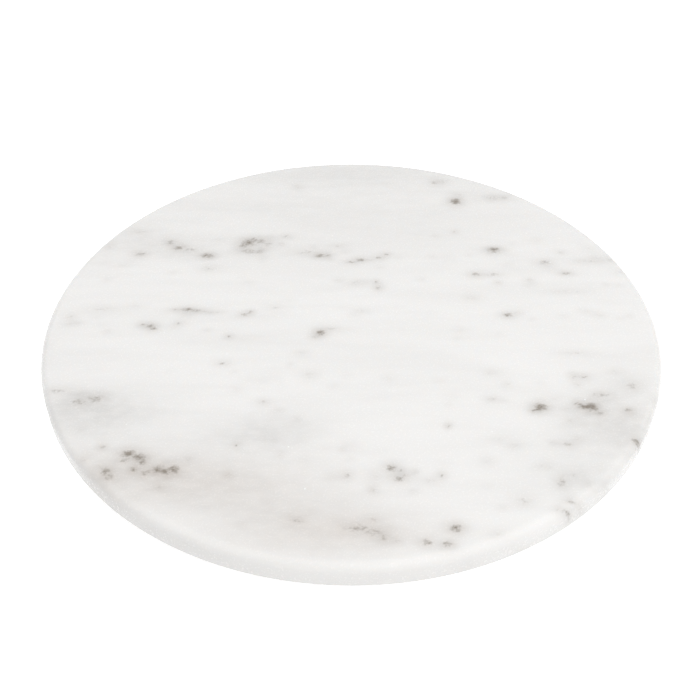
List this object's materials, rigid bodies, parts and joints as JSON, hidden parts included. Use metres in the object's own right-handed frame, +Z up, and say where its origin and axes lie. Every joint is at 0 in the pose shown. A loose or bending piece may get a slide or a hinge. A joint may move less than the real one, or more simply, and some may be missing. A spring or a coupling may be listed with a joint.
{
  "type": "lazy susan turntable",
  "caption": "Round marble serving turntable: a honed stone disc that spins on a low aluminium ball-bearing ring with rubber feet.",
  "frame": {"origin": "on the table under the centre of the stone top, where the feet stand", "axes": "+Z up along the axis that the top turns about; +X through the middle of foot_1"},
  "size_m": [0.3048, 0.3048, 0.0307],
  "materials": {
    "honed_marble": "honed white marble with soft grey bands and dark mineral flecks",
    "satin_aluminium": "turned and clear anodised",
    "polished_steel": "polished bearing steel",
    "zinc_steel": "bright zinc plate",
    "black_oxide_steel": "black oxide",
    "brass": "turned brass",
    "white_nylon": "natural nylon",
    "black_foam": "closed-cell foam tape",
    "grey_rubber": "moulded rubber"
  },
  "bodies": {
    "base": {"base_ring": "satin_aluminium", "filling_plug": "black_oxide_steel", "foot_1": "grey_rubber", "foot_2": "grey_rubber", "foot_3": "grey_rubber", "foot_4": "grey_rubber", "foot_5": "grey_rubber", "foot_6": "grey_rubber", "foot_washers": "zinc_steel", "foot_screws": "zinc_steel"},
    "cage": {"bearing_balls": "polished_steel", "cage_strip_1": "white_nylon", "cage_strip_2": "white_nylon", "cage_strip_3": "white_nylon", "cage_strip_4": "white_nylon"},
    "top": {"marble_top": "honed_marble", "stone_inserts": "brass", "cushion_ring": "black_foam", "turning_ring": "satin_aluminium", "turning_ring_screws": "zinc_steel"}
  },
  "joints": [
    {"name": "top_spin", "type": "hinge", "parent": "base", "child": "top", "pos_m": [0, 0, 0.0115], "axis": [0, 0, 1], "continuous": true},
    {"name": "cage_orbit", "type": "hinge", "parent": "base", "child": "cage", "pos_m": [0, 0, 0.0115], "axis": [0, 0, 1], "continuous": true}
  ],
  "couplings": [
    {"joint": "cage_orbit", "follows": "top_spin", "ratio": 0.4874}
  ]
}
